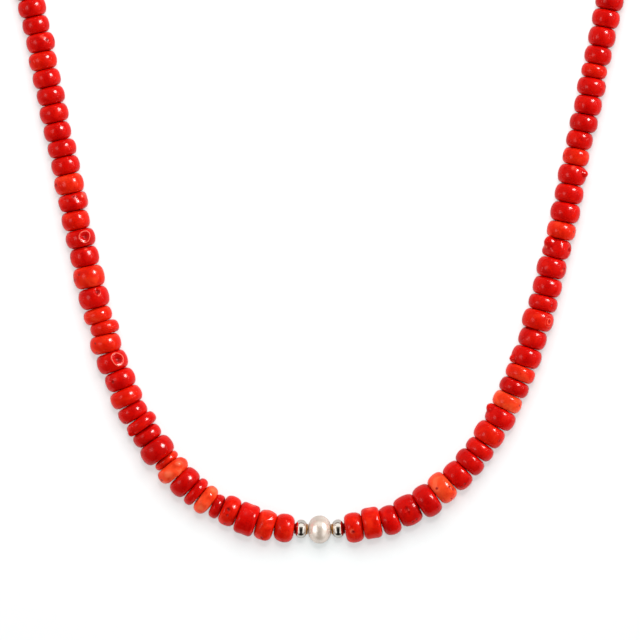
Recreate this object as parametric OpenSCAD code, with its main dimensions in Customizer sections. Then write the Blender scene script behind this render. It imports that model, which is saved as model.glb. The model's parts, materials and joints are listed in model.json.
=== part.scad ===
// Necklace of drilled coral beads with a pearl between two metal spacers, lying as a closed loop.
// Z = 0 is the surface it lies on, and the origin is the middle of the loop's box.
// +Y runs from the pearl to the clasp, and +X is the wearer's left as the loop is seen from above.

/* [Loop] */
// Distance along Y from the pearl's middle to the clasp's middle
loop_length = 165.5; // [162:0.5:175]
// Distance along Y from the pearl's middle to the origin
pearl_to_origin = 82.8; // [75:0.1:95]

/* [Coral beads] */
// How square a bead's section is: 2 is an ellipse and 4 is nearly a box
bead_squareness = 3; // [2.2:0.1:4]
// Radius of the hole drilled through a bead
bead_bore_r = 0.7; // [0.6:0.05:0.8]
// Least clear space between two beads on the thread
bead_gap = 0.12; // [0.1:0.01:0.2]
// Radius of the flat round a bead's hole, on which a leaning bead opens its gap
bead_face_r = 0.8; // [0.7:0.05:1.2]
// Length of a bead at the back of the neck, of which the loop takes a whole even number
back_bead_length = 3.2; // [2.8:0.1:3.8]
// Diameter of a bead at the back of the neck
back_bead_d = 5.4; // [4.8:0.1:6]

/* [Pearl and spacers] */
// Diameter of the pearl across the thread
pearl_d = 5.3; // [4.5:0.1:6.5]
// Length of the pearl along the thread
pearl_length = 4.5; // [4:0.1:6]
// How square the pearl's section is: 2 is an ellipse
pearl_squareness = 2.1; // [2:0.1:2.4]
// Radius of the pearl's hole
pearl_bore_r = 0.45; // [0.4:0.05:0.6]
// Diameter of a spacer
spacer_d = 3.5; // [3:0.1:4.5]
// Length of a spacer along the thread
spacer_length = 2.3; // [1.8:0.1:2.8]
// How square a spacer's section is: 2 is an ellipse
spacer_squareness = 2.2; // [2:0.1:3]
// Radius of a spacer's hole
spacer_bore_r = 0.6; // [0.5:0.05:0.7]

/* [Thread and clasp] */
// Radius of the thread
thread_r = 0.25; // [0.15:0.05:0.3]
// Length of the closed barrel clasp
clasp_length = 10; // [8:0.5:14]
// Diameter of the clasp at its middle
clasp_d = 5; // [4:0.5:6]
// Radius of the hole in each end of the clasp
clasp_bore_r = 0.45; // [0.4:0.05:0.6]
// Depth of the hole in each end of the clasp
clasp_bore_depth = 2.5; // [2:0.5:4]
// Width of the groove where the clasp's halves meet
clasp_seam = 0.4; // [0.2:0.1:0.8]
// Depth of that groove
clasp_seam_depth = 0.2; // [0.1:0.05:0.4]
// Clear space between the clasp and the bead on each side of it
clasp_room = 0.3; // [0.2:0.05:0.5]

/* [Resting height] */
// Lowest height of a bead's middle, where a small bead hangs on the thread
seat_low = 2.8; // [2.6:0.05:3]
// Highest height of a bead's middle, where the largest bead stands on the surface
seat_high = 3.4; // [3.2:0.05:3.6]

/* [Hidden] */
$fn = 32;

// Route of each side from the pearl, as arcs: length, turn towards the clasp in degrees
left_route = [
    [6, 6],
    [12, 18],
    [10, 22],
    [8, 8],
    [10, 9],
    [12, 11],
    [18, 4]
];
right_route = [
    [6, 7.5],
    [12, 20],
    [18, 27.5],
    [8, 7.5],
    [8, 6.5],
    [12, 5.5],
    [18, 3.5]
];

// Beads of each side from the pearl outwards: diameter, length along the thread,
// lean in degrees with its axis turned into the loop, shift in mm towards the inside of the loop
left_beads = [
    [5.5, 3.7, 1, -0.1],
    [5.9, 3.3, 4, -0.2],
    [6.2, 3.7, 2, 0],
    [6.0, 3.1, -1, 0.3],
    [4.8, 1.8, -4, 0],
    [6.0, 2.6, 3, 0],
    [6.0, 1.9, 1, 0.1],
    [6.2, 3.3, -1, 0],
    [6.5, 2.7, 2, -0.1],
    [5.1, 1.4, 0, 0.1],
    [6.7, 3.7, 1, -0.1],
    [5.7, 2.6, -2, -0.1],
    [6.2, 2.2, -5, 0.2],
    [5.8, 2.8, -1, -0.2],
    [6.2, 3.1, 1, 0],
    [5.9, 3.5, 0, 0.3],
    [6.0, 3.6, -1, 0.1],
    [6.0, 3.3, 3, -0.1],
    [5.7, 2.3, 0, 0.5],
    [5.5, 2.7, -3, -0.1],
    [5.9, 3.8, -1, 0],
    [6.1, 4.0, 1, 0],
    [5.5, 3.6, 0, 0],
    [5.8, 3.3, -1, 0],
    [5.6, 3.5, 0, -0.2],
    [5.7, 3.2, -1, 0.1],
    [5.7, 3.6, 0, 0],
    [5.5, 3.3, -1, 0.1],
    [5.6, 3.1, -1, 0.1],
    [5.3, 3.3, -1, -0.1],
    [5.5, 3.4, -2, 0],
    [5.4, 3.2, -1, 0.1],
    [5.5, 3.3, -1, 0],
    [5.4, 3.3, -1, 0],
    [5.5, 3.4, 0, 0.3],
    [5.2, 3.2, -1, 0.1],
    [5.4, 3.3, -1, 0.1]
];
right_beads = [
    [5.8, 3.4, 0, -0.1],
    [6.0, 3.3, -4, 0.1],
    [5.8, 3.2, 0, -0.4],
    [6.0, 4.1, 0, 0],
    [6.5, 3.6, 1, -0.2],
    [6.2, 3.5, 2, 0.1],
    [5.8, 3.6, 0, -0.1],
    [5.8, 3.0, 0, 0],
    [5.6, 2.7, 0, 0],
    [5.9, 3.7, 0, 0.1],
    [5.9, 3.4, 1, -0.1],
    [5.7, 3.0, 0, 0.1],
    [5.7, 2.8, 0, 0.1],
    [5.8, 2.7, 0, 0],
    [5.8, 3.6, 1, 0],
    [5.5, 3.5, 0, 0],
    [6.0, 3.6, 1, 0.1],
    [5.6, 2.8, 1, 0],
    [5.6, 3.4, 0, 0],
    [5.8, 3.7, 1, 0.1],
    [5.3, 3.6, 0, -0.1],
    [5.6, 3.2, 0, -0.1],
    [5.7, 3.6, 0, -0.1],
    [5.5, 3.4, 0, -0.1],
    [5.5, 3.6, 1, 0.1],
    [5.1, 3.1, 0, 0.1],
    [5.2, 3.2, 0, 0.1],
    [5.4, 3.2, 1, 0],
    [5.4, 3.5, 1, -0.1],
    [5.6, 3.3, 1, 0],
    [5.0, 2.6, 1, 0.1],
    [5.3, 3.3, 1, 0],
    [5.4, 3.6, 1, 0],
    [5.3, 3.3, 1, 0],
    [5.4, 3.3, 0, 0]
];
DIAMETER = 0;
LENGTH = 1;
LEAN = 2;
SHIFT = 3;

// Angles of the points of a bead's rounded side, and how far from its hole the last may come
rim_angles = [0 : 15 : 75];
rim_margin = 0.1;

coral_colour = [0.82, 0.07, 0.04];
pearl_colour = [0.96, 0.93, 0.88];
silver_colour = [0.8, 0.79, 0.77];
thread_colour = [0.45, 0.05, 0.04];

// Most by which a back bead's length and diameter differ from the usual, as a share of them.
// One of a pair is longer by what the other is shorter, so that the pairs fill the route exactly.
back_length_vary = 0.12;
back_d_vary = 0.03;
// The differences follow two waves, with these steps in degrees from a pair, or a bead, to the next
back_length_step = 137;
back_d_step = 97;

// End of one arc that starts at [x, y, heading]
function arc_end(from, length, turn) =
    let (h = from[2], r = turn == 0 ? 0 : length * 180 / (PI * turn))
    turn == 0
        ? [from[0] + length * cos(h), from[1] + length * sin(h), h]
        : [from[0] + r * (sin(h + turn) - sin(h)), from[1] - r * (cos(h + turn) - cos(h)), h + turn];

// Place and heading at a distance along a route
function along(route, s, i = 0, from = [0, 0, 0]) =
    let (part = route[i])
    s <= part[0] || i == len(route) - 1
        ? arc_end(from, s, part[1] * s / part[0])
        : along(route, s - part[0], i + 1, arc_end(from, part[0], part[1]));

function sum(list, i = 0) = i < len(list) ? list[i] + sum(list, i + 1) : 0;
function clamp(value, low, high) = min(max(value, low), high);
function reversed(list) = [for (i = [len(list) - 1 : -1 : 0]) list[i]];

function route_length(route) = sum([for (part = route) part[0]]);

// A straight stretch and one wide arc round the back of the neck close a side at the clasp
function closed(route) =
    let (
        last = along(route, route_length(route)),
        heading = last[2],
        across = last[0] - clasp_length / 2,
        up = loop_length - last[1],
        r = (up * cos(heading) + across * sin(heading)) / (1 + cos(heading)),
        straight = (r * sin(heading) - across) / cos(heading),
        turn = 180 - heading
    )
    concat(route, [[straight, 0], [r * turn * PI / 180, turn]]);

// Space that a bead takes to the next one, wider where the two lean apart
function spacing(a, b, bend) =
    (a[LENGTH] + b[LENGTH]) / 2 + bead_gap + bead_face_r * abs(bend + b[LEAN] - a[LEAN]) * PI / 180;

// Distance of the next bead's middle along the route
function next_seat(route, s, a, b) =
    let (ahead = s + (a[LENGTH] + b[LENGTH]) / 2)
    s + spacing(a, b, along(route, ahead)[2] - along(route, s)[2]);

// Distance of every bead's middle along the route, the first bead being against the spacer
function seats(route, beads, start) = [
    for (
        i = 0, s = start + beads[0][LENGTH] / 2;
        i < len(beads);
        s = i < len(beads) - 1 ? next_seat(route, s, beads[i], beads[i + 1]) : s,
        i = i + 1
    ) s
];

// Beads of the back of the neck, which fill the route from the last bead seen to the clasp
function back_beads(route, seen) =
    let (
        at = seats(route, seen, first_start),
        last = len(seen) - 1,
        room = route_length(route) - at[last] - seen[last][LENGTH] / 2 - clasp_room,
        turning = bead_face_r * route[len(route) - 1][1] * PI / 180,
        pairs = round(room / (2 * (back_bead_length + bead_gap))),
        length = (room - turning) / (2 * pairs) - bead_gap
    )
    [
        for (i = [0 : 2 * pairs - 1])
        let (
            longer = (i % 2 == 0 ? 1 : -1) * back_length_vary * sin(back_length_step * floor(i / 2)),
            wider = back_d_vary * sin(back_d_step * i)
        )
        [back_bead_d * (1 + wider), length * (1 + longer), 0, 0]
    ];

first_start = pearl_length / 2 + bead_gap + spacer_length + bead_gap;
left_path = closed(left_route);
right_path = closed(right_route);
all_left = concat(left_beads, back_beads(left_path, left_beads));
all_right = concat(right_beads, back_beads(right_path, right_beads));
left_seats = seats(left_path, all_left, first_start);
right_seats = seats(right_path, all_right, first_start);
spacer_seat = pearl_length / 2 + bead_gap + spacer_length / 2;
pearl_z = max(pearl_d / 2, seat_low);
spacer_z = seat_low;
clasp_z = seat_low;

// Place in the frame, [x, y, z], from a place on a side's route, where side is 1 on the right, -1 on the left
function placed(side, at, shift, z) =
    [side * (at[0] - shift * sin(at[2])), at[1] + shift * cos(at[2]) - pearl_to_origin, z];

function bead_z(bead) = clamp(bead[DIAMETER] / 2, seat_low, seat_high);
function bead_at(side, path, s, bead) = placed(side, along(path, s), bead[SHIFT], bead_z(bead));

// Half section of a bead, rounded by a superellipse and cut off where its hole meets it
function bead_section(d, length, bore_r, squareness) =
    let (
        power = 2 / squareness,
        round_side = [
            for (a = rim_angles)
            [d / 2 * pow(cos(a), power), length / 2 * pow(sin(a), power)]
        ],
        rim = [for (p = round_side) if (p[0] > bore_r + rim_margin) p],
        mouth_z = length / 2 * pow(1 - pow(2 * bore_r / d, squareness), 1 / squareness)
    )
    concat(
        [[bore_r, -mouth_z]],
        [for (i = [len(rim) - 1 : -1 : 1]) [rim[i][0], -rim[i][1]]],
        rim,
        [[bore_r, mouth_z]]
    );

module drilled_bead(d, length, bore_r, squareness) {
    rotate_extrude() polygon(bead_section(d, length, bore_r, squareness));
}

// Stands a piece, made along Z, on the thread with its axis along a heading in the plane
module threaded(place, side, heading) {
    translate(place) rotate([0, 0, side > 0 ? heading : 180 - heading]) rotate([0, 90, 0]) children();
}

module strand(side, path, beads, distances) {
    for (i = [0 : len(beads) - 1]) {
        bead = beads[i];
        heading = along(path, distances[i])[2] + bead[LEAN];
        threaded(bead_at(side, path, distances[i], bead), side, heading)
            drilled_bead(bead[DIAMETER], bead[LENGTH], bead_bore_r, bead_squareness);
    }
}

module coral_strand_left() {
    color(coral_colour) strand(-1, left_path, all_left, left_seats);
}

module coral_strand_right() {
    color(coral_colour) strand(1, right_path, all_right, right_seats);
}

module pearl() {
    color(pearl_colour)
    threaded([0, -pearl_to_origin, pearl_z], 1, 0)
        drilled_bead(pearl_d, pearl_length, pearl_bore_r, pearl_squareness);
}

module spacer(side, path) {
    at = along(path, spacer_seat);
    threaded(placed(side, at, 0, spacer_z), side, at[2])
        drilled_bead(spacer_d, spacer_length, spacer_bore_r, spacer_squareness);
}

module spacer_left() {
    color(silver_colour) spacer(-1, left_path);
}

module spacer_right() {
    color(silver_colour) spacer(1, right_path);
}

// Points that the thread runs through, one between each two beads
function thread_points(side, path, beads, distances) =
    let (middles = [for (i = [0 : len(beads) - 1]) bead_at(side, path, distances[i], beads[i])])
    [for (i = [1 : len(beads) - 1]) (middles[i - 1] + middles[i]) / 2];

// The thread's end stops short of the bottom of the clasp's hole
thread_end_gap = 0.3;
thread_end_x = clasp_length / 2 - clasp_bore_depth + thread_end_gap;
clasp_y = loop_length - pearl_to_origin;
pearl_end = (pearl_length + bead_gap) / 2;
spacer_end = first_start - bead_gap / 2;
thread_route = concat(
    [[-thread_end_x, clasp_y, clasp_z], [-clasp_length / 2, clasp_y, clasp_z]],
    reversed(thread_points(-1, left_path, all_left, left_seats)),
    [
        placed(-1, along(left_path, spacer_end), 0, spacer_z),
        placed(-1, along(left_path, pearl_end), 0, pearl_z),
        placed(1, along(right_path, pearl_end), 0, pearl_z),
        placed(1, along(right_path, spacer_end), 0, spacer_z)
    ],
    thread_points(1, right_path, all_right, right_seats),
    [[clasp_length / 2, clasp_y, clasp_z], [thread_end_x, clasp_y, clasp_z]]
);
thread_sides = 6;

// Ring of points round the thread's route at one of its points
function thread_ring(route, i) =
    let (
        before = route[max(i - 1, 0)],
        after = route[min(i + 1, len(route) - 1)],
        way = atan2(after[1] - before[1], after[0] - before[0])
    )
    [
        for (k = [0 : thread_sides - 1])
        let (a = 360 * k / thread_sides)
        route[i] + thread_r * [-sin(way) * cos(a), cos(way) * cos(a), sin(a)]
    ];

module thread() {
    rings = len(thread_route);
    color(thread_colour)
    polyhedron(
        points = [for (i = [0 : rings - 1]) each thread_ring(thread_route, i)],
        faces = concat(
            [[for (k = [0 : thread_sides - 1]) k]],
            [
                for (i = [0 : rings - 2], k = [0 : thread_sides - 1])
                let (a = i * thread_sides, b = a + thread_sides, n = (k + 1) % thread_sides)
                each [[a + k, b + k, a + n], [a + n, b + k, b + n]]
            ],
            [[for (k = [thread_sides - 1 : -1 : 0]) (rings - 1) * thread_sides + k]]
        )
    );
}

// Outline of half the clasp, from its end to the groove: share of the radius, share of the half length
clasp_outline = [
    [0, 1],
    [0.4, 1],
    [0.68, 0.84],
    [0.9, 0.56],
    [1, 0.2]
];

module clasp_body() {
    half = [for (p = clasp_outline) [p[0] * clasp_d / 2, p[1] * clasp_length / 2]];
    groove = [
        [clasp_d / 2, clasp_seam / 2],
        [clasp_d / 2 - clasp_seam_depth, 0],
        [clasp_d / 2, -clasp_seam / 2]
    ];
    rotate_extrude() polygon(concat(half, groove, [for (p = reversed(half)) [p[0], -p[1]]]));
}

module clasp() {
    over = 1;
    color(silver_colour)
    threaded([0, clasp_y, clasp_z], 1, 0)
        difference() {
            clasp_body();
            for (end = [0, 180])
                rotate([end, 0, 0]) translate([0, 0, clasp_length / 2 - clasp_bore_depth])
                    cylinder(r = clasp_bore_r, h = clasp_bore_depth + over);
        }
}

coral_strand_left();
coral_strand_right();
pearl();
spacer_left();
spacer_right();
thread();
clasp();
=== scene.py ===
"""A coral necklace that lies as a closed loop on a pale surface.

Drilled coral beads of many sizes and reds, a pearl between two polished metal spacers, the thread and
the clasp. Lengths are metres, and MM makes them from millimetres. The frame gives each bead's place.
"""
import json
import math
import random
from collections import namedtuple

import bpy
import numpy as np
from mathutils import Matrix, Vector

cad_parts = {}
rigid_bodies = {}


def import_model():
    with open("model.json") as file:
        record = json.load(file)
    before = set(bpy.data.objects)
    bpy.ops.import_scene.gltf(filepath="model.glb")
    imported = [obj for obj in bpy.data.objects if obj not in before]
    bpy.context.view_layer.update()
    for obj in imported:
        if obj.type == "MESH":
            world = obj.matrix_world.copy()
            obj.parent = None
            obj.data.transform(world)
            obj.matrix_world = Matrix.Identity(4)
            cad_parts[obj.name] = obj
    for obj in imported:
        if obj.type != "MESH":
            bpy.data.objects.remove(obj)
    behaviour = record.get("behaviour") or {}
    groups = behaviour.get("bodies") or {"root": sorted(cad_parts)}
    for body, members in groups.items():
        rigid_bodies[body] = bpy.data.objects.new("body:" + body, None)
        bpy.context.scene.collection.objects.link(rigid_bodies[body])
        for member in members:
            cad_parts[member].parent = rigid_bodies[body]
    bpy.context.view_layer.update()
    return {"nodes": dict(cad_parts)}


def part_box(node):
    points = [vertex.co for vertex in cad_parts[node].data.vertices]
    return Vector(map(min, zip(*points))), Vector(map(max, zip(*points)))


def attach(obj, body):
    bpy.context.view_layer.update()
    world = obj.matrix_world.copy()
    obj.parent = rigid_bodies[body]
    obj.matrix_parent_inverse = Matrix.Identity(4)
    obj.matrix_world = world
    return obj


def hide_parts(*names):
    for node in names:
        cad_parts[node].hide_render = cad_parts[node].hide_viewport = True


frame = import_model()
nodes = frame["nodes"]
scene = bpy.context.scene
MM = 0.001

# Camera

PHOTO_PIXELS = 640
PIXEL = 0.19 * MM
PHOTO_MIDDLE = Vector((0.08 * MM, -43.0 * MM))
BEAD_LEVEL = 2.8 * MM
CAMERA_ABOVE = 0.9
SENSOR_WIDTH = 36


def photo_place(x, y):
    """Point at the beads' height that a pixel of the photo shows."""
    across = PHOTO_MIDDLE.x + (x - PHOTO_PIXELS / 2) * PIXEL
    along = PHOTO_MIDDLE.y - (y - PHOTO_PIXELS / 2) * PIXEL
    return Vector((across, along, BEAD_LEVEL))


def make_camera():
    lens = bpy.data.cameras.new("camera")
    camera = bpy.data.objects.new("camera", lens)
    scene.collection.objects.link(camera)
    camera.location = (*PHOTO_MIDDLE, BEAD_LEVEL + CAMERA_ABOVE)
    lens.sensor_width = SENSOR_WIDTH
    lens.lens = SENSOR_WIDTH * CAMERA_ABOVE / (PHOTO_PIXELS * PIXEL)
    lens.clip_start = 0.01
    scene.camera = camera
    return camera


camera = make_camera()

# Shader building


def add(tree, kind, inputs=(), **settings):
    """Adds a node. inputs gives each socket, by name or number, a value or the socket that feeds it."""
    node = tree.nodes.new("ShaderNode" + kind)
    for name, value in settings.items():
        setattr(node, name, value)
    for socket, value in dict(inputs).items():
        if isinstance(value, bpy.types.NodeSocket):
            tree.links.new(value, node.inputs[socket])
        else:
            node.inputs[socket].default_value = value
    return node


def mixed(tree, factor, first, second):
    return add(tree, "Mix", {0: factor, 6: first, 7: second}, data_type="RGBA").outputs[2]


def maths(tree, how, first, second=0.0):
    return add(tree, "Math", {0: first, 1: second}, operation=how).outputs[0]


def stepped(tree, value, low, high, to_low=0.0, to_high=1.0):
    """Smooth step of a value from to_low below low to to_high above high."""
    inputs = {0: value, 1: low, 2: high, 3: to_low, 4: to_high}
    return add(tree, "MapRange", inputs, interpolation_type="SMOOTHSTEP").outputs[0]


def noise(tree, place, scale, detail=2.0, distortion=0.0, roughness=0.5):
    inputs = {
        "Vector": place, "Scale": scale, "Detail": detail, "Roughness": roughness, "Distortion": distortion
    }
    return add(tree, "TexNoise", inputs).outputs[0]


def attribute(tree, name):
    return add(tree, "Attribute", attribute_name=name).outputs["Fac"]


def new_material(name):
    material = bpy.data.materials.new(name)
    material.use_nodes = True
    tree = material.node_tree
    shader = next(n for n in tree.nodes if n.type == "BSDF_PRINCIPLED")
    return material, tree, shader


def join(tree, source, shader, socket):
    tree.links.new(source, shader.inputs[socket])


def linear(level):
    """Linear light of one channel, 0 to 1, by the sRGB curve."""
    return level / 12.92 if level < 0.04045 else ((level + 0.055) / 1.055) ** 2.4


def shade(red, green, blue):
    """Linear colour from the 0 to 255 values that a painter's chart gives."""
    return (linear(red / 255), linear(green / 255), linear(blue / 255), 1.0)


# Materials
# The scale of a noise is the number of its features in a metre.

# Coral by tone: its body, its lighter clouds and its darker clouds
CORAL_TONES = {
    "deep": (shade(189, 3, 0), shade(203, 9, 1), shade(168, 0, 0)),
    "red": (shade(199, 5, 0), shade(215, 18, 3), shade(179, 0, 0)),
    "bright": (shade(208, 17, 1), shade(224, 38, 10), shade(190, 6, 0)),
    "orange": (shade(216, 28, 4), shade(231, 57, 26), shade(198, 11, 1)),
    "pale": (shade(235, 68, 30), shade(244, 102, 64), shade(217, 36, 8)),
}
# Colour of pale scuffs and rims, and of the painted highlight on crater rims
CORAL_BARE_AND_HIGHLIGHT = shade(228, 92, 70)
# Painted shade inside pits, pores, hollows, craters and notches
CORAL_PIT_SHADE = shade(150, 8, 5)
CORAL_IOR = 1.27


def coral(tone):
    """Polished coral: soft clouds of lighter and darker red, sparse pores and pale scuffs, with painted
    shade in its pits, pores, hollows, dents and creases and painted highlight on crater rims.
    """
    body, light, dark = CORAL_TONES[tone]
    material, tree, shader = new_material("coral " + tone)
    place = add(tree, "TexCoord").outputs["Object"]
    clouds = noise(tree, place, 420, 2, 0.6)
    veins = noise(tree, place, 900, 3, 1.6, 0.6)
    grain = noise(tree, place, 2600, 2)
    pores = add(tree, "TexVoronoi", {"Vector": place, "Scale": 700}).outputs["Distance"]
    pore = stepped(tree, pores, 0.06, 0.13, 1.0, 0.0)
    pore = maths(tree, "MULTIPLY", pore, stepped(tree, clouds, 0.46, 0.56))
    bare_and_highlight = attribute(tree, "bare_and_highlight")
    bare_and_highlight = stepped(tree, maths(tree, "ADD", bare_and_highlight, maths(tree, "MULTIPLY", veins, 0.5)), 0.45, 1.15)
    pit = attribute(tree, "pit")

    colour = mixed(tree, stepped(tree, clouds, 0.34, 0.50, 0.7, 0.0), body, dark)
    colour = mixed(tree, stepped(tree, clouds, 0.52, 0.70, 0.0, 0.7), colour, light)
    colour = mixed(tree, stepped(tree, veins, 0.56, 0.74, 0.0, 0.25), colour, dark)
    colour = mixed(tree, stepped(tree, grain, 0.35, 0.7, 0.0, 0.03), colour, dark)
    colour = mixed(tree, stepped(tree, attribute(tree, "lighter"), 0.0, 1.0, 0.0, 0.9), colour, light)
    # Painted shade in dents, creases, hollows and craters, round pits and round the bases of nubs
    colour = mixed(tree, stepped(tree, attribute(tree, "darker"), 0.0, 1.0, 0.0, 0.9), colour, dark)
    # Pale scuffs and rims, with painted highlight on crater rims
    colour = mixed(tree, bare_and_highlight, colour, CORAL_BARE_AND_HIGHLIGHT)
    # Painted shade in the pores, and in the pits, hollows, craters and notches
    colour = mixed(tree, maths(tree, "MULTIPLY", pore, 0.18), colour, CORAL_PIT_SHADE)
    colour = mixed(tree, pit, colour, CORAL_PIT_SHADE)
    join(tree, colour, shader, "Base Color")

    polish = stepped(tree, clouds, 0.3, 0.7, 0.15, 0.19)
    polish = maths(tree, "ADD", polish, maths(tree, "MULTIPLY", bare_and_highlight, 0.25))
    polish = maths(tree, "ADD", polish, maths(tree, "MULTIPLY", pit, 0.2))
    join(tree, polish, shader, "Roughness")
    shader.inputs["IOR"].default_value = CORAL_IOR

    height = maths(tree, "MULTIPLY", veins, 0.5)
    height = maths(tree, "SUBTRACT", height, maths(tree, "MULTIPLY", pore, 0.8))
    bump = add(tree, "Bump", {"Strength": 0.02, "Distance": 0.00004, "Height": height})
    join(tree, bump.outputs[0], shader, "Normal")
    return material


def nacre():
    """Pearl: a warm peach body under a deep white lustre, with faint rose and cream clouds."""
    material, tree, shader = new_material("pearl nacre")
    place = add(tree, "TexCoord").outputs["Object"]
    clouds = noise(tree, place, 260, 2, 1.0)
    ripple = noise(tree, place, 900, 2, 0.4)
    colour = mixed(tree, stepped(tree, clouds, 0.35, 0.65), shade(241, 222, 203), shade(242, 217, 197))
    colour = mixed(tree, stepped(tree, ripple, 0.5, 0.8, 0.0, 0.25), colour, shade(243, 229, 213))
    join(tree, colour, shader, "Base Color")
    join(tree, stepped(tree, ripple, 0.3, 0.7, 0.34, 0.40), shader, "Roughness")
    shader.inputs["Coat Weight"].default_value = 1.0
    shader.inputs["Coat IOR"].default_value = 4.0
    shader.inputs["Coat Roughness"].default_value = 0.26
    bump = add(tree, "Bump", {"Strength": 0.04, "Distance": 0.00002, "Height": clouds})
    join(tree, bump.outputs[0], shader, "Normal")
    return material


def polished_silver():
    """Silver with a mirror polish, faint haze and hairline scratches, with painted reflections at its hubs:
    the pearl's gold-brown at one end and the coral's dark red at the other.
    """
    material, tree, shader = new_material("polished silver")
    place = add(tree, "TexCoord").outputs["Object"]
    haze = noise(tree, place, 700, 2)
    hairline = add(tree, "Mapping", {"Vector": place, "Scale": (9000, 900, 900)}).outputs[0]
    scratch = noise(tree, hairline, 1.0, 2)
    shader.inputs["Metallic"].default_value = 1.0
    colour = mixed(tree, stepped(tree, haze, 0.35, 0.7), shade(240, 236, 230), shade(228, 223, 215))
    # Painted reflection of the pearl at the hub by it
    colour = mixed(tree, attribute(tree, "golden"), colour, shade(206, 150, 88))
    # Painted reflection of the coral at the hub by it
    colour = mixed(tree, attribute(tree, "reddened"), colour, shade(176, 14, 10))
    join(tree, colour, shader, "Base Color")
    # The hubs with painted reflections are also rougher
    painted_hub_reflection = maths(tree, "ADD", attribute(tree, "golden"), attribute(tree, "reddened"))
    polish = stepped(tree, haze, 0.3, 0.7, 0.07, 0.12)
    join(tree, maths(tree, "ADD", polish, maths(tree, "MULTIPLY", painted_hub_reflection, 0.35)), shader, "Roughness")
    bump = add(tree, "Bump", {"Strength": 0.05, "Distance": 0.00001, "Height": scratch})
    join(tree, bump.outputs[0], shader, "Normal")
    return material


def spun_thread():
    """Dark red beading thread with fine fibres."""
    material, tree, shader = new_material("spun thread")
    place = add(tree, "TexCoord").outputs["Object"]
    fibres = noise(tree, place, 9000, 3, 1.0)
    join(tree, mixed(tree, fibres, shade(84, 8, 8), shade(140, 24, 18)), shader, "Base Color")
    join(tree, stepped(tree, fibres, 0.3, 0.7, 0.6, 0.85), shader, "Roughness")
    bump = add(tree, "Bump", {"Strength": 0.6, "Distance": 0.00003, "Height": fibres})
    join(tree, bump.outputs[0], shader, "Normal")
    return material


coral_finish = {tone: coral(tone) for tone in CORAL_TONES}
nacre_finish = nacre()
silver_finish = polished_silver()
thread_finish = spun_thread()

# Beads of the frame

Bead = namedtuple("Bead", "centre axis across radius half before after")


def points_of(mesh):
    places = np.empty(len(mesh.vertices) * 3)
    mesh.vertices.foreach_get("co", places)
    return places.reshape(-1, 3)


def set_points(mesh, places):
    mesh.vertices.foreach_set("co", places.ravel())
    mesh.update()


def only(piece):
    """Makes a piece the one that is selected and active."""
    bpy.ops.object.select_all(action="DESELECT")
    bpy.context.view_layer.objects.active = piece
    piece.select_set(True)


# Furthest that the corners of a solid that are one point lie apart
WELD = 0.001 * MM
# How much further from a bead's centre than its nearest point the mouths of its hole may reach
MOUTH_REACH = 1.02


def loose_parts(node):
    """Points of each separate bead of a strand's solid, from a copy that is taken apart."""
    copy = bpy.data.objects.new("measured", nodes[node].data.copy())
    scene.collection.objects.link(copy)
    only(copy)
    bpy.ops.object.mode_set(mode="EDIT")
    bpy.ops.mesh.select_all(action="SELECT")
    bpy.ops.mesh.remove_doubles(threshold=WELD)
    bpy.ops.mesh.separate(type="LOOSE")
    bpy.ops.object.mode_set(mode="OBJECT")
    parts = list(bpy.context.selected_objects)
    found = [points_of(part.data) for part in parts]
    for part in parts:
        bpy.data.objects.remove(part)
    return found


def measured(places):
    """Centre, axis, radius and half length of a drilled round bead. The points nearest its centre are
    the two mouths of its hole, and they lie furthest apart along its axis."""
    centre = (places.min(0) + places.max(0)) / 2
    rays = places - centre
    far = np.linalg.norm(rays, axis=1)
    mouths = rays[far < far.min() * MOUTH_REACH]
    axis = np.linalg.svd(mouths, full_matrices=False)[2][0]
    axis[2] = 0
    axis /= np.linalg.norm(axis)
    along = rays @ axis
    off = np.linalg.norm(rays - along[:, None] * axis, axis=1)
    return centre, axis, off.max(), abs(along).max()


def beads_of(node, start):
    """The beads of a strand from the pearl to the clasp, each with the gap to what lies before and after."""
    found = sorted(map(measured, loose_parts(node)), key=lambda b: math.atan2(abs(b[0][0]), -b[0][1]))
    beads = []
    for i, (centre, axis, radius, half) in enumerate(found):
        last = found[i - 1][0] if i else start
        if (centre - last) @ axis < 0:
            axis = -axis
        across = np.array([-axis[1], axis[0], 0.0])
        room = [
            (np.linalg.norm(centre - found[j][0]) - half - found[j][3]) / 2
            if 0 <= j < len(found) else 0.0
            for j in (i - 1, i + 1)
        ]
        beads.append(Bead(centre, axis, across, radius, half, *room))
    return beads


def middle_of(node):
    low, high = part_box(node)
    return np.array((low + high) / 2)


SIDES = ("left", "right")
strands = {side: beads_of("coral_strand_" + side, middle_of("pearl")) for side in SIDES}

# Turned pieces

# Points round a turned piece, and points on a quarter of a superellipse before they are spread evenly
AROUND = 64
CURVE_POINTS = 400


def evenly(outline, count):
    """Points spread evenly along an outline."""
    outline = np.array(outline)
    run = np.concatenate([[0], np.cumsum(np.linalg.norm(np.diff(outline, axis=0), axis=1))])
    at = np.linspace(0, run[-1], count)
    return np.column_stack([np.interp(at, run, outline[:, k]) for k in (0, 1)])


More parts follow.
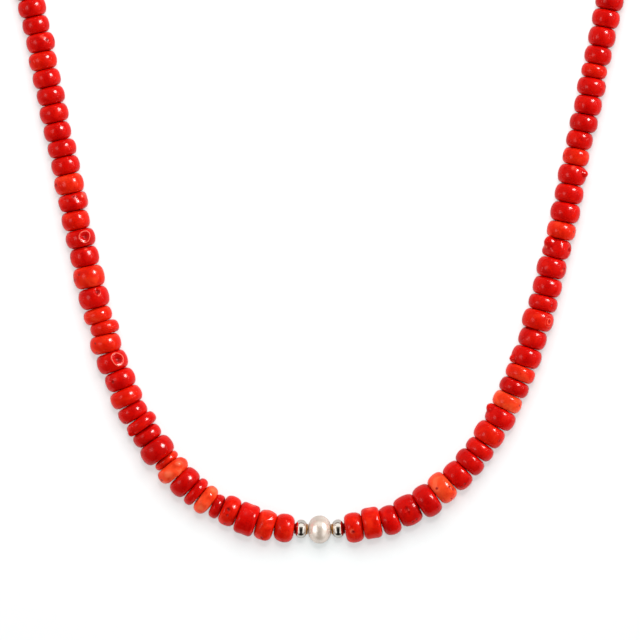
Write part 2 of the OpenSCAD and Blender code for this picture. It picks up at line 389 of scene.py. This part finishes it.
def turned(name, outline):
    """A drilled piece turned about Z: its outline of radius and height runs from one mouth of the hole,
    over the rim, to the other mouth, and the hole joins the two."""
    (radius, height), *rest = outline
    bpy.ops.object.select_all(action="DESELECT")
    bpy.ops.mesh.primitive_circle_add(vertices=AROUND, radius=radius, location=(0, 0, height))
    piece = bpy.context.object
    piece.name = name
    bpy.ops.object.mode_set(mode="EDIT")
    bpy.ops.mesh.select_mode(type="EDGE")
    bpy.ops.mesh.select_all(action="SELECT")
    for next_radius, next_height in rest:
        rise = {"value": (0, 0, next_height - height)}
        bpy.ops.mesh.extrude_edges_move(TRANSFORM_OT_translate=rise)
        ratio = next_radius / radius
        bpy.ops.transform.resize(value=(ratio, ratio, 1), center_override=(0, 0, next_height))
        radius, height = next_radius, next_height
    bpy.ops.mesh.select_all(action="DESELECT")
    bpy.ops.mesh.select_non_manifold()
    bpy.ops.mesh.bridge_edge_loops()
    bpy.ops.mesh.select_all(action="SELECT")
    bpy.ops.mesh.normals_make_consistent(inside=False)
    bpy.ops.object.mode_set(mode="OBJECT")
    bpy.ops.object.transform_apply(location=True, rotation=True, scale=True)
    bpy.ops.object.shade_smooth()
    return piece


def rounded(radius, half, power, hole, count):
    """Outline of a rounded bead, a superellipse from its hole's mouth over the rim to the other mouth."""
    curve = [
        (math.cos(a) ** (2 / power), math.sin(a) ** (2 / power))
        for a in np.linspace(math.pi / 2 * 0.999, 0, CURVE_POINTS)
    ]
    mouth = (hole / radius, (1 - (hole / radius) ** power) ** (1 / power))
    quarter = evenly([mouth, *[p for p in curve if p[0] > mouth[0]]], count)
    quarter = [(r * radius, z * half) for r, z in quarter]
    return quarter + [(r, -z) for r, z in quarter[-2::-1]]


# Coral beads

# The plain bead, which every coral bead is shaped from: its radius and its half length are 1
PLAIN_POWER = 3.0
PLAIN_HOLE = 0.24
PLAIN_ROWS = 15
plain_bead = turned("plain bead", rounded(1, 1, PLAIN_POWER, PLAIN_HOLE, PLAIN_ROWS))

# Form of a bead: how square its faces and its side are, how far its middle is drawn in, and its lumps in mm
FORMS = {
    "round": (6.0, 1.96, 0.0, 0.05),
    "oval": (3.8, 2.2, 0.0, 0.05),
    "barrel": (6.4, 2.06, 0.0, 0.06),
    "square": (7.0, 3.4, 0.03, 0.07),
    "waisted": (6.6, 2.8, 0.09, 0.08),
    "disc": (6.5, 2.2, 0.0, 0.06),
    "lumpy": (5.6, 2.1, 0.0, 0.34),
}

# Looks of the beads that the photo shows, from the pearl outwards: tone, form, and the marks on each,
# which are a kind, a place in pixels of the photo and a radius in pixels. PLAIN is the usual bead.
PLAIN = ("red", "round", [])
LEFT_LOOKS = [
    ("bright", "oval", [("pit", 282.5, 541.5, 1.0)]),
    ("orange", "lumpy", [("pit", 261.8, 537.8, 1.7), ("lump", 271, 515, 5), ("dent", 270, 524, 5)]),
    ("red", "waisted", [("scuff", 252, 505, 6), ("scuff", 242, 503, 4)]),
    ("bright", "barrel", [
        ("pit", 228.4, 509.2, 1.9), ("pit", 227.3, 515.3, 1.4), ("dent", 228, 511, 4),
        ("pit", 224.8, 523.5, 1.4)
    ]),
    ("deep", "disc", []),
    ("pale", "oval", [("light", 200, 508, 5), ("light", 213, 490, 4), ("dent", 206, 499, 5)]),
    ("red", "disc", []),
    ("deep", "barrel", []),
    ("pale", "lumpy", [
        ("pit", 161.9, 480.3, 1.6), ("pit", 184.9, 458.4, 1.3), ("scuff", 177.5, 464, 3.2),
        ("lump", 180, 463, 5), ("dent", 174, 468, 4), ("light", 168, 474, 6), ("pit", 159, 476, 1.0)
    ]),
    ("orange", "disc", []),
    ("deep", "barrel", [("pit", 144.6, 461.4, 1.6)]),
    ("deep", "barrel", []),
    ("red", "disc", [("nub", 131, 433.5, 4.2), ("scuff", 154, 414, 3.5)]),
    ("red", "barrel", [("pit", 125.2, 422.4, 1.8)]),
    ("bright", "barrel", []),
    ("red", "round", [("pit", 113, 382.2, 1.8), ("dent", 107, 379, 4)]),
    ("red", "round", [("crater", 117.9, 358.9, 6.4)]),
    ("orange", "round", [("pit", 95.2, 343.6, 1.2), ("pit", 96.4, 352.7, 1.1)]),
    ("bright", "disc", []),
    ("orange", "round", []),
    ("red", "round", [("hollow", 97, 291.5, 3.8), ("scuff", 99.4, 295.6, 2.0), ("pit", 80, 301.8, 1.2)]),
    ("orange", "round", [("pit", 75, 280, 1.7), ("pit", 79.1, 274.9, 1.3)]),
    ("red", "round", [("pit", 70.9, 258.1, 1.2), ("scuff", 86, 248.8, 3.5)]),
    ("red", "round", [("crater", 84.9, 236.3, 5.8), ("pit", 66.9, 241.6, 1.3)]),
    ("bright", "round", [("pit", 62.9, 221, 1.0)]),
    ("red", "lumpy", [
        ("scuff", 82.5, 195.6, 4.5), ("pit", 72.7, 196.5, 1.5), ("pit", 76.5, 196, 1.3),
        ("scuff", 60.6, 198.7, 2.5), ("pit", 59.7, 205.9, 1.3), ("lump", 83, 196, 5)
    ]),
    ("orange", "round", [("pit", 55.9, 185.1, 2.0)]),
    *[PLAIN] * 6,
    ("bright", "round", [("pit", 30.1, 61.9, 1.6)]),
    ("red", "round", [("pit", 46.9, 39.8, 1.9), ("pit", 53.6, 39.8, 1.6), ("scuff", 42, 36.5, 4)]),
    *[PLAIN] * 2,
]
RIGHT_LOOKS = [
    ("bright", "barrel", [("pit", 353.2, 531.9, 1.8), ("scuff", 351.5, 531, 4)]),
    ("bright", "square", [
        ("scuff", 369.6, 508.8, 5), ("light", 368, 522, 5), ("dent", 374, 524, 3), ("light", 380, 518, 4)
    ]),
    ("red", "barrel", []),
    ("deep", "barrel", [
        ("light", 409, 518, 6), ("pit", 416.4, 519.2, 1.6), ("pit", 412.9, 521.7, 1.4),
        ("dent", 406, 509.5, 3.4), ("crease", 406.5, 508.5, 3.4), ("crease", 408.5, 513, 3.0),
        ("light", 411.5, 512.5, 3)
    ]),
    ("deep", "barrel", [("light", 424.6, 504.5, 2.5)]),
    ("pale", "barrel", [
        ("pit", 436.8, 488.5, 1.3), ("pit", 449.6, 487.1, 1.4), ("pit", 453.2, 489.2, 1.6),
        ("pit", 451.6, 498.4, 1.2)
    ]),
    ("red", "barrel", [("pit", 464.9, 484.1, 1.5), ("pit", 461.5, 487, 1.1)]),
    ("deep", "barrel", []),
    ("red", "barrel", []),
    ("bright", "barrel", [("pit", 499.1, 440.9, 1.4), ("pit", 478, 424, 1.4)]),
    ("red", "barrel", [("nub", 490.0, 407.2, 5.6), ("scuff", 512.9, 419.6, 2)]),
    ("pale", "barrel", [("pit", 519.6, 405.8, 1.1)]),
    ("deep", "barrel", []),
    ("orange", "disc", []),
    ("red", "round", [("nub", 512.6, 358.4, 4.6), ("scuff", 514.5, 361, 2)]),
    PLAIN,
    ("bright", "barrel", [("rings", 549.4, 321.6, 7), ("pit", 549.4, 321.6, 1.2), ("pit", 548.5, 328, 1.0)]),
    ("red", "barrel", [("pit", 551.7, 305.4, 1.1)]),
    PLAIN,
    ("red", "round", [("pit", 564.2, 269.1, 1.5), ("scuff", 562, 271, 3)]),
    ("red", "lumpy", [
        ("nub", 548.6, 241.4, 6.6), ("notch", 569.8, 250.2, 3.2), ("scuff", 546.8, 247, 2.5),
        ("scuff", 569, 243, 2.2)
    ]),
    ("orange", "round", [("pit", 573.5, 232, 1.1)]),
    *[PLAIN] * 2,
    ("red", "round", [("nub", 585.0, 173.8, 4.4), ("scuff", 573.6, 167.7, 4)]),
    ("orange", "round", [("pit", 564, 155.6, 1.5)]),
    PLAIN,
    ("deep", "round", []),
    ("red", "round", [("pit", 602.2, 105.6, 1.2)]),
    ("red", "round", [("pit", 605.1, 86.5, 1.4)]),
    ("bright", "round", []),
    *[PLAIN] * 3,
    ("deep", "round", []),
]
LOOKS = {"left": LEFT_LOOKS, "right": RIGHT_LOOKS}
# Tones and forms that the beads behind the neck are drawn from
BACK_TONES = ["red"] * 10 + ["deep"] * 4 + ["bright"] * 3 + ["orange"] * 2 + ["pale"]
BACK_FORMS = ["round"] * 6 + ["barrel"] * 3 + ["lumpy"]

chance = random.Random(7)
# Most that a bead's section is out of round, as a share of its radius
MOST_SKEW = 0.02


def shaped(bead, form, mesh, skew):
    """Points of the plain bead's mesh brought to a bead's form, size and place."""
    face, side, waist, _ = FORMS[form]
    places = points_of(mesh)
    height = places[:, 2]
    radius = np.hypot(places[:, 0], places[:, 1])
    turn = np.arctan2(places[:, 1], places[:, 0])
    level = np.abs(height)
    mouth = radius < PLAIN_HOLE * 1.001
    reach = np.where(mouth, 1.0, (radius ** PLAIN_POWER + level ** PLAIN_POWER) ** (1 / PLAIN_POWER))
    radius = (radius / reach) ** (PLAIN_POWER / face)
    level = (level / reach) ** (PLAIN_POWER / side)
    radius[mouth] = PLAIN_HOLE
    level[mouth] = (1 - PLAIN_HOLE ** face) ** (1 / side)
    radius *= 1 - waist * (1 - level ** 2) ** 2
    radius *= bead.radius / radius.max() * (1 - skew[0] + skew[0] * np.cos(2 * (turn - skew[1])))
    half = bead.half + np.where(height > 0, bead.after, bead.before)
    along = np.sign(height) * level * half
    up = np.array([0.0, 0.0, 1.0])
    return (
        bead.centre
        + along[:, None] * bead.axis
        + (radius * np.cos(turn))[:, None] * bead.across
        + (radius * np.sin(turn))[:, None] * up
    )


def mark_place(piece, bead, x, y):
    """Where the camera's line of sight through a pixel of the photo meets a bead, or passes it closest."""
    eye = camera.location
    sight = (photo_place(x, y) - eye).normalized()
    hit, place, _, face = piece.ray_cast(eye, sight)
    if not hit:
        beside = eye + sight * ((bead.centre[2] - eye.z) / sight.z)
        _, place, _, face = piece.closest_point_on_mesh(beside)
    return place, face


# How far round a mark the faces are cut finer: a share of its radius and a margin
REFINED_SHARE = 1.35
REFINED_MARGIN = 0.12 * MM


def refine(piece, bead, spots):
    """Cuts the faces of an unshaped bead finer round its spots, each a centre, a radius and the cuts."""
    if not spots:
        return
    size = np.array([bead.radius, bead.radius, bead.half])
    only(piece)
    bpy.ops.object.mode_set(mode="EDIT")
    bpy.ops.mesh.select_mode(type="FACE")
    for centre, radius, cuts in spots:
        bpy.ops.mesh.select_all(action="DESELECT")
        bpy.ops.object.mode_set(mode="OBJECT")
        near = (radius * REFINED_SHARE + REFINED_MARGIN) ** 2
        for face in piece.data.polygons:
            gap = np.array(face.center - centre) * size
            face.select = bool(gap @ gap < near)
        bpy.ops.object.mode_set(mode="EDIT")
        bpy.ops.mesh.subdivide(number_cuts=cuts)
    bpy.ops.object.mode_set(mode="OBJECT")


def smooth(t):
    return t * t * (3 - 2 * t)


def bowl(t):
    return np.clip(1 - t * t, 0, 1) ** 2


def line(t, at, width):
    return np.exp(-(((t - at) / width) ** 2))


# What each kind of mark does at t, the distance from its middle as a share of its radius, and at i, the
# same from a point a little lower: the relief as a share of the radius, how pale it is from scuffs, rims and
# painted highlight, how much painted pit shade, how much lighter, and how much painted shade darkens it
MARKS = {
    # A pit is darkened inside and round about with painted shade.
    "pit": lambda t, i: (
        -0.32 * bowl(t), 0.25 * line(t, 1.3, 0.3), np.clip(1.4 * bowl(t / 1.35), 0, 1), 0, 0.6 * bowl(t / 2)
    ),
    # A hollow's painted shade sits towards its lower point.
    "hollow": lambda t, i: (
        -0.5 * bowl(t) + 0.05 * line(t, 1.05, 0.2), 0.3 * line(t, 1.1, 0.2), 0.85 * bowl(i), 0, bowl(t)
    ),
    # A crater's pale ring is partly painted highlight, brighter away from its lower point; its painted shade
    # sits near that point.
    "crater": lambda t, i: (
        -0.45 * bowl(t / 0.95) + 0.07 * line(t, 1.0, 0.09),
        line(t, 1.0, 0.08) * np.clip(0.35 + 0.75 * i, 0, 1),
        0.95 * bowl(i / 0.66),
        0,
        bowl(t / 0.9),
    ),
    # Painted shade rings a nub where it meets the bead.
    "nub": lambda t, i: (0.66 * bowl(t / 1.25), 0, 0, 0, 0.7 * line(t, 1.1, 0.25)),
    "lump": lambda t, i: (0.28 * bowl(t / 1.2), 0, 0, 0.5 * bowl(t), 0),
    # Dents, creases and notches are darkened inside with painted shade.
    "dent": lambda t, i: (-0.25 * bowl(t / 1.2), 0, 0, 0, 0.4 * bowl(t)),
    "crease": lambda t, i: (-0.3 * bowl(t / 0.8), 0.25 * line(t, 1.0, 0.25), 0, 0, bowl(t / 0.8)),
    "notch": lambda t, i: (-0.7 * bowl(t / 1.1), 0.4 * line(t, 1.0, 0.3), 0.3 * bowl(t), 0, 0),
    "scuff": lambda t, i: (-0.03 * bowl(t), 0.55 * bowl(t / 1.3), 0, 0.7 * bowl(t / 1.3), 0),
    "light": lambda t, i: (0 * t, 0, 0, bowl(t / 1.2), 0),
    "rings": lambda t, i: (
        0.01 * np.cos(16 * t) * bowl(t / 1.2), 0.9 * np.clip(np.cos(16 * t), 0, 1) * bowl(t / 1.6), 0, 0, 0
    ),
}
# Shift to a mark's lower point, as a share of its radius. It puts the painted shade of hollows and craters,
# and the brighter side of a crater's painted highlight, to one side.
LOWER_SHIFT = np.array([0.18, -0.12, 0])
# Cuts that each face near such a mark gets
MARK_CUTS = {"pit": 3, "crater": 3, "hollow": 2, "rings": 3, "nub": 2, "notch": 2}
# Weights of a relief are rounded to thousandths, and less than the least counts as none
LEAST_WEIGHT = 0.002
HALF_STEP = 0.0005


def displaced(piece, weights, strength, texture=None):
    """Moves a piece's surface along its normals by its weights, with a modifier that is applied."""
    group = piece.vertex_groups.new(name="relief")
    for weight in np.unique(np.round(weights[weights > LEAST_WEIGHT], 3)):
        points = np.flatnonzero(np.abs(weights - weight) <= HALF_STEP).tolist()
        group.add(points, float(weight), "REPLACE")
    modifier = piece.modifiers.new("relief", "DISPLACE")
    modifier.vertex_group = group.name
    modifier.strength = strength
    modifier.mid_level = 0.5 if texture else 0.0
    modifier.texture = texture
    modifier.texture_coords = "LOCAL"
    bpy.context.view_layer.objects.active = piece
    bpy.ops.object.modifier_apply(modifier=modifier.name)
    piece.vertex_groups.clear()


lump_texture = bpy.data.textures.new("bead lumps", "CLOUDS")
lump_texture.noise_scale = 2.6 * MM
lump_texture.noise_depth = 1


def side_weights(places, bead):
    """1 on a bead's side, and 0 on the faces round its hole and where it rests."""
    rays = places - bead.centre
    along = rays @ bead.axis
    off = np.linalg.norm(rays - along[:, None] * bead.axis, axis=1)
    side = np.clip((off / bead.radius - 0.55) / 0.3, 0, 1)
    above = np.clip((rays[:, 2] / bead.radius + 0.8) / 0.4, 0, 1)
    return smooth(side) * smooth(above)


# Radius of a stray pit, and of a stray dent or scuff
STRAY_PIT = (0.18 * MM, 0.34 * MM)
STRAY_PATCH = (0.5 * MM, 0.9 * MM)


def stray_marks(piece, bead, seen):
    """A few pits by chance. On a bead that the photo shows they stay below its middle."""
    marks = []
    for _ in range(chance.choice((0, 1, 1, 2))):
        turn = chance.uniform(200, 340) if seen else chance.uniform(0, 360)
        lean = chance.uniform(-0.6, 0.6)
        spot = (
            bead.centre
            + bead.axis * bead.half * lean
            + bead.across * bead.radius * math.cos(math.radians(turn))
            + np.array([0, 0, 1]) * bead.radius * math.sin(math.radians(turn))
        )
        _, place, _, face = piece.closest_point_on_mesh(Vector(spot))
        kind = chance.choice(("pit", "pit", "dent", "scuff"))
        size = chance.uniform(*(STRAY_PIT if kind == "pit" else STRAY_PATCH))
        marks.append((kind, place, face, size))
    return marks


def mark_changes(places, kind, place, size, phase):
    """What a mark does to each point. Its rim is a little uneven, by a phase of its own."""
    rays = (places - np.array(place)) / size
    turn = np.arctan2(rays[:, 1], rays[:, 0])
    uneven = 1 + 0.07 * np.sin(2 * turn + phase) + 0.04 * np.sin(3 * turn + 2 * phase)
    middle = np.linalg.norm(rays, axis=1) / uneven
    lower = np.linalg.norm(rays - LOWER_SHIFT, axis=1) / uneven
    relief, *tints = MARKS[kind](middle, lower)
    return [relief * size, *tints]


def coral_bead(name, node, bead, tone, form, spots, seen):
    piece = bpy.data.objects.new(name, plain_bead.data.copy())
    scene.collection.objects.link(piece)
    skew = (chance.uniform(0.0, MOST_SKEW), chance.uniform(0, math.pi))
    plain = points_of(piece.data)
    set_points(piece.data, shaped(bead, form, piece.data, skew))
    bpy.context.view_layer.update()
    marks = [(kind, *mark_place(piece, bead, x, y), size * PIXEL) for kind, x, y, size in spots]
    marks += stray_marks(piece, bead, seen)
    set_points(piece.data, plain)
    refine(piece, bead, [
        (piece.data.polygons[face].center.copy(), size, MARK_CUTS[kind])
        for kind, _, face, size in marks
        if kind in MARK_CUTS
    ])
    set_points(piece.data, shaped(bead, form, piece.data, skew))

    places = points_of(piece.data)
    displaced(piece, side_weights(places, bead), FORMS[form][3] * MM * 2, lump_texture)
    totals = np.zeros((5, len(places)))
    for kind, place, _, size in marks:
        for total, change in zip(totals, mark_changes(places, kind, place, size, chance.uniform(0, 6))):
            total += change
    for way in (1, -1):
        relief = np.clip(totals[0] * way, 0, None)
        if relief.max() > 0:
            displaced(piece, relief / relief.max(), relief.max() * way)
    # pit and darker hold painted shade
    for label, values in zip(("bare_and_highlight", "pit", "lighter", "darker"), totals[1:]):
        layer = piece.data.attributes.new(label, "FLOAT", "POINT")
        layer.data.foreach_set("value", np.clip(values, 0, 1).astype(np.float32))

    piece.data.materials.clear()
    piece.data.materials.append(coral_finish[tone])
    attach(piece, "root")
    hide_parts(node)


for side, beads in strands.items():
    looks = LOOKS[side]
    for i, bead in enumerate(beads):
        if i < len(looks):
            look = looks[i]
        else:
            look = (chance.choice(BACK_TONES), chance.choice(BACK_FORMS), [])
        coral_bead(f"coral_{side}_{i + 1:02d}", "coral_strand_" + side, bead, *look, i < len(looks))
bpy.data.objects.remove(plain_bead)

# Pearl, spacers, clasp and thread

PEARL_POWER = 2.1
PEARL_ROWS = 24
# Radius of the hole through the pearl, and into the clasp
FINE_HOLE = 0.45 * MM
SPACER_HOLE = 0.3 * MM
# Depth and half width of the groove where the clasp's halves meet
CLASP_SEAM = 0.2 * MM
# How far the clasp narrows towards its ends, as a share of its radius
CLASP_TAPER = 0.42


def set_along(piece, centre, axis):
    """Brings a piece turned about Z to its place, with Z along an axis that lies level."""
    axis = np.array(axis) / np.linalg.norm(axis)
    across, up = np.array([-axis[1], axis[0], 0.0]), np.array([0.0, 0.0, 1.0])
    places = points_of(piece.data)
    set_points(piece.data, centre + places[:, :1] * across + places[:, 1:2] * up + places[:, 2:] * axis)


def show(piece, node, finish):
    piece.data.materials.clear()
    piece.data.materials.append(finish)
    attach(piece, "root")
    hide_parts(node)


def pearl():
    low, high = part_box("pearl")
    radius, half = (high.z - low.z) / 2, (high.x - low.x) / 2
    piece = turned("pearl_nacre", rounded(radius, half, PEARL_POWER, FINE_HOLE, PEARL_ROWS))
    set_along(piece, middle_of("pearl"), (1, 0, 0))
    show(piece, "pearl", nacre_finish)


# A spacer's hub: shares of its radius, and how far back from its end towards the belly
HUB_OUTLINE = [(0.93, 0.02), (0.98, 0.12), (1.0, 0.3), (1.0, 0.6), (1.01, 0.85), (1.03, 0.97)]
# Belly of a spacer: its length and how square its faces and its side are. A hub stands out at each end.
BELLY_LENGTH = 2.24 * MM
BELLY_FACE = 2.8
BELLY_SIDE = 2.3
BELLY_ROWS = 30
HUB_RADIUS = 0.98 * MM
SPACER_LENGTH = 2.56 * MM


def spacer(side):
    """A round polished metal bead with a short hub at each end, each with a painted reflection: gold-brown
    of the pearl at the end by the pearl and dark red of the coral at the end by the coral.
    """
    node = "spacer_" + side
    radius = (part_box(node)[1].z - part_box(node)[0].z) / 2
    plain = rounded(1, 1, 2, 0.3, BELLY_ROWS)[:BELLY_ROWS]
    belly = [(r ** (2 / BELLY_FACE) * radius, z ** (2 / BELLY_SIDE) * BELLY_LENGTH / 2) for r, z in plain]
    belly = [place for place in belly if place[0] > HUB_RADIUS * 1.04]
    end, reach = SPACER_LENGTH / 2, belly[0][1]
    hub = [(HUB_RADIUS * part, end - (end - reach) * back) for part, back in HUB_OUTLINE]
    outline = [(SPACER_HOLE, end), (HUB_RADIUS * 0.8, end), *hub, *belly]
    outline += [(r, -z) for r, z in outline[-2::-1]]
    piece = turned(node + "_silver", outline)
    along, off = points_of(piece.data)[:, 2], np.hypot(*points_of(piece.data)[:, :2].T)
    near = np.clip((HUB_RADIUS * 1.35 - off) / (HUB_RADIUS * 0.3), 0, 1)
    # Painted reflections at the hubs: of the pearl at the end that faces it, of the coral at the other
    for label, hub_end in (("golden", along < -reach * 0.8), ("reddened", along > reach * 0.8)):
        layer = piece.data.attributes.new(label, "FLOAT", "POINT")
        layer.data.foreach_set("value", (near * hub_end).astype(np.float32))
    away = strands[side][0].centre - middle_of("pearl")
    set_along(piece, middle_of(node), (away[0], away[1], 0))
    show(piece, node, silver_finish)


def clasp():
    """A barrel clasp of two smooth halves that meet at a fine groove, with a small collar at each end."""
    low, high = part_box("clasp")
    radius, half = (high.z - low.z) / 2, (high.x - low.x) / 2
    body = [
        (radius * (1 - CLASP_TAPER * t ** 2.4), half * 0.94 * t) for t in np.linspace(0.94, 0.06, 14)
    ]
    end = body[0][0]
    outline = [
        (FINE_HOLE, half), (end * 0.72, half), (end * 0.78, half * 0.985), (end * 0.78, half * 0.93),
        (end * 0.86, half * 0.905), *body, (radius, CLASP_SEAM * 1.2),
        (radius - CLASP_SEAM * 0.4, CLASP_SEAM * 0.8), (radius - CLASP_SEAM, 0)
    ]
    outline += [(r, -z) for r, z in outline[-2::-1]]
    piece = turned("clasp_barrel", outline)
    bpy.ops.object.shade_smooth_by_angle(angle=math.radians(40))
    set_along(piece, middle_of("clasp"), (1, 0, 0))
    show(piece, "clasp", silver_finish)


pearl()
for side in SIDES:
    spacer(side)
clasp()
thread = nodes["thread"]
thread.data.materials.clear()
thread.data.materials.append(thread_finish)

# Floor, light and sky

# Level of the tent round the scene
TENT_LEVEL = 0.40
# The floor's two close greys, and what the polished faces mirror of it
FLOOR_TONES = ((0.69, 0.69, 0.69, 1), (0.71, 0.71, 0.71, 1))
FLOOR_MIRRORED = (0.42, 0.41, 0.40, 1)

necklace = bpy.data.collections.new("necklace")
corals = bpy.data.collections.new("corals")
brights = bpy.data.collections.new("pearl and metal")
pearls = bpy.data.collections.new("pearls")
for piece in scene.objects:
    if piece.type == "MESH":
        necklace.objects.link(piece)
        (corals if piece.name.startswith("coral_") else brights).objects.link(piece)
        if piece.name.startswith("pearl_"):
            pearls.objects.link(piece)


def floor():
    bpy.ops.object.select_all(action="DESELECT")
    bpy.ops.mesh.primitive_plane_add(size=6, location=(0, 0, 0))
    plane = bpy.context.object
    plane.name = "floor"
    material, tree, shader = new_material("white surface")
    place = add(tree, "TexCoord").outputs["Object"]
    speck = noise(tree, place, 900, 2)
    white = mixed(tree, speck, *FLOOR_TONES)
    glossy = add(tree, "LightPath").outputs["Is Glossy Ray"]
    join(tree, mixed(tree, glossy, white, FLOOR_MIRRORED), shader, "Base Color")
    shader.inputs["Roughness"].default_value = 0.9
    shader.inputs["Specular IOR Level"].default_value = 0.1
    plane.data.materials.append(material)
    return plane


def softbox(name, towards, distance, size, level, only_on, glossy=True, diffuse=True, tint=(1, 1, 1)):
    """A round light, or a rectangle where size is a pair, that faces the middle of the photo's view from a
    direction. level is how bright it alone makes a white surface that faces it."""
    lamp = bpy.data.lights.new(name, "AREA")
    lamp.energy = math.pi ** 2 * level * distance ** 2
    lamp.color = tint
    if isinstance(size, tuple):
        lamp.shape = "RECTANGLE"
        lamp.size, lamp.size_y = size
    else:
        lamp.shape = "DISK"
        lamp.size = size
    box = bpy.data.objects.new(name, lamp)
    scene.collection.objects.link(box)
    way = Vector(towards).normalized()
    box.location = Vector((*PHOTO_MIDDLE, 0)) + way * distance
    box.rotation_mode = "QUATERNION"
    box.rotation_quaternion = way.to_track_quat("Z", "Y")
    box.visible_glossy = glossy
    box.visible_diffuse = diffuse
    box.visible_camera = False
    box.light_linking.receiver_collection = only_on


def sky():
    """A white tent lights the scene evenly. What the polished faces mirror of it is grey, with a dark band
    from overhead down to the front."""
    world = bpy.data.worlds.new("studio")
    scene.world = world
    world.use_nodes = True
    tree = world.node_tree
    back = next(n for n in tree.nodes if n.type == "BACKGROUND")
    way = add(tree, "TexCoord").outputs["Generated"]
    parts = add(tree, "SeparateXYZ", {0: way})
    aside = maths(tree, "ABSOLUTE", parts.outputs["X"])
    beside = stepped(tree, aside, 0.16, 0.60, 0.0, 0.50)
    north = stepped(tree, parts.outputs["Y"], 0.05, 0.6, 0.0, 0.40)
    south = stepped(tree, parts.outputs["Y"], -0.7, 0.1, 0.3, 1.0)
    horizon = stepped(tree, parts.outputs["Z"], 0.03, 0.12)
    open_side = maths(tree, "MULTIPLY", maths(tree, "MAXIMUM", beside, north), south)
    open_side = maths(tree, "MULTIPLY", open_side, horizon)
    mirrored = maths(tree, "ADD", open_side, 0.01)
    glossy = add(tree, "LightPath").outputs["Is Glossy Ray"]
    strength = add(tree, "Mix", {0: glossy, 2: TENT_LEVEL, 3: mirrored}, data_type="FLOAT").outputs[0]
    tree.links.new(strength, back.inputs["Strength"])
    join(tree, mixed(tree, glossy, (1, 1, 1, 1), (1, 0.92, 0.80, 1)), back, "Color")


surface = bpy.data.collections.new("surface")
surface.objects.link(floor())
softbox("shadow", (0.02, 0.52, 0.85), 0.3, 0.24, 0.60, surface, glossy=False)
softbox("steep", (0.02, 0.28, 0.96), 0.9, 0.12, 0.13, surface, glossy=False)
softbox("down", (0, 0, 1), 0.9, 0.08, 0.67, surface, glossy=False, tint=(0.91, 1, 1))
softbox("north_side", (0.10, 0.90, 0.42), 1.2, 0.5, 0.72, corals, glossy=False)
softbox("south_side", (0, -0.92, 0.30), 1.2, 0.5, 0.12, corals, glossy=False)
softbox("left_side", (-0.95, -0.04, 0.12), 1.2, 0.5, 0.45, necklace, glossy=False)
softbox("right_side", (0.90, 0.12, 0.34), 1.2, 0.6, 0.82, necklace, glossy=False)
softbox("glint", (0.59, 0.50, 0.62), 1.2, 0.42, 1.92, corals, diffuse=False)
softbox("left_glint", (-0.67, 0.04, 0.74), 1.2, 0.5, 0.14, corals)
softbox("left_panel", (-0.80, -0.22, 0.57), 1.2, (2.0, 0.95), 0.30, brights, diffuse=False)
softbox("right_panel", (0.80, -0.22, 0.57), 1.2, (2.0, 0.95), 0.30, brights, diffuse=False)
softbox("north_panel", (0, 0.77, 0.64), 1.2, (2.4, 1.0), 0.34, brights, diffuse=False)
softbox("pearl_glint", (0.73, 0.43, 0.52), 1.2, 0.9, 0.38, pearls, diffuse=False)
softbox("pearl_left_glint", (-0.74, 0.02, 0.66), 1.2, 1.1, 0.27, pearls)
sky()
scene.view_settings.view_transform = "Standard"
